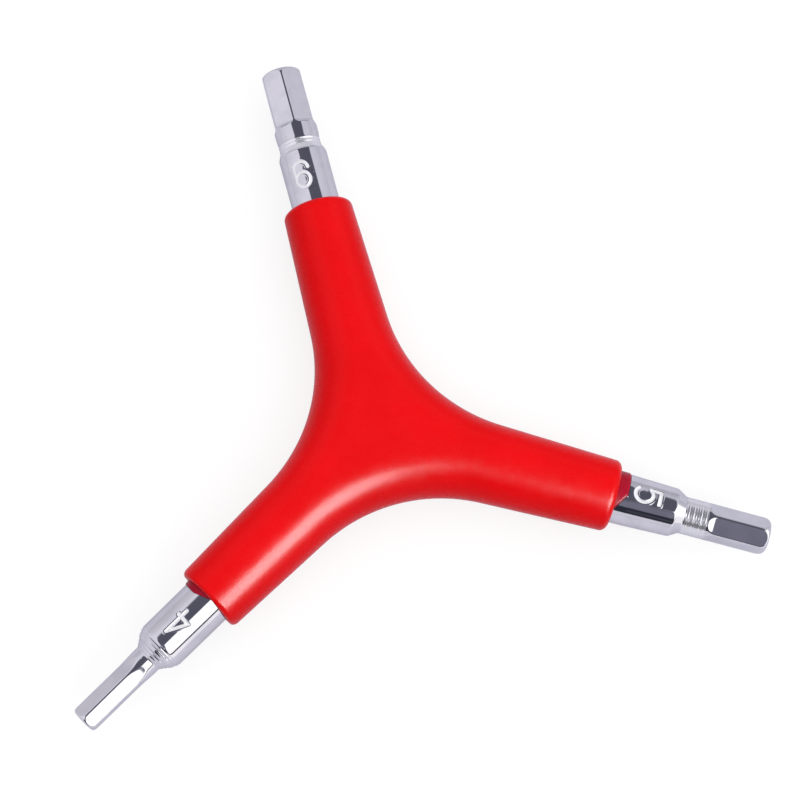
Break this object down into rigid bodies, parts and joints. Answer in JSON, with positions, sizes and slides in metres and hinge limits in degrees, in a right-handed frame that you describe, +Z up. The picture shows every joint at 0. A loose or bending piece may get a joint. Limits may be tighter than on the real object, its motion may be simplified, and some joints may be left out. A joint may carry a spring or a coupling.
{
  "type": "y wrench",
  "caption": "Hand wrench shaped like a Y: a red two-shot moulded handle whose round arms each hold a chromed steel hex bit of another size.",
  "frame": {"origin": "middle of the level face under the hub, on which the wrench rests", "axes": "+Z up out of the resting flat, +Y along the arm of size 6, +X to the right when +Y points up the page: the arm of size 5 points right and down, the arm of size 4 left and down"},
  "size_m": [0.1057, 0.0919, 0.0126],
  "materials": {
    "skin_red": "satin, very fine moulded grain",
    "core_red": "satin, darker red first shot",
    "bright_steel": "bright chrome plate over turned and milled steel"
  },
  "bodies": {
    "root": {"grip_skin": "skin_red", "handle_core": "core_red", "hex_bit_6": "bright_steel", "hex_bit_5": "bright_steel", "hex_bit_4": "bright_steel"}
  },
  "joints": []
}
